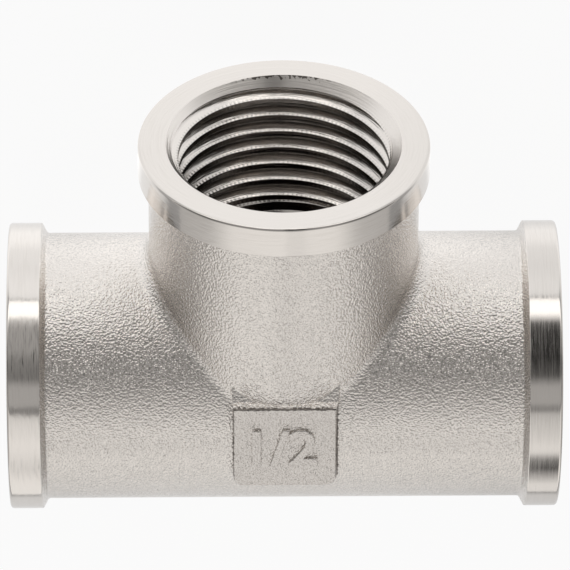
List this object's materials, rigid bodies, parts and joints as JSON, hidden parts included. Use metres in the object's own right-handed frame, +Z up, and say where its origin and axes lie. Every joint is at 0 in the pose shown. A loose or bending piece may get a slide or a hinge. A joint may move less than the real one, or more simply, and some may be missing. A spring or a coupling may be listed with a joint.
{
  "type": "threaded tee",
  "caption": "Equal pipe tee in nickel-plated brass: a straight run and one branch, each port collared and internally threaded.",
  "frame": {"origin": "on the surface that the tee lies on, midway along the run and midway between the branch face and the back of the run's collars", "axes": "+X along the run, +Y along the branch and out of its mouth, +Z up, square to the plane of both axes, out of the side with the pad"},
  "size_m": [0.0504, 0.0384, 0.0264],
  "materials": {
    "nickel_plated_brass": "nickel plate, satin grained on the forged body and bright on the turned collars"
  },
  "bodies": {
    "root": {"tee_body": "nickel_plated_brass"}
  },
  "joints": []
}
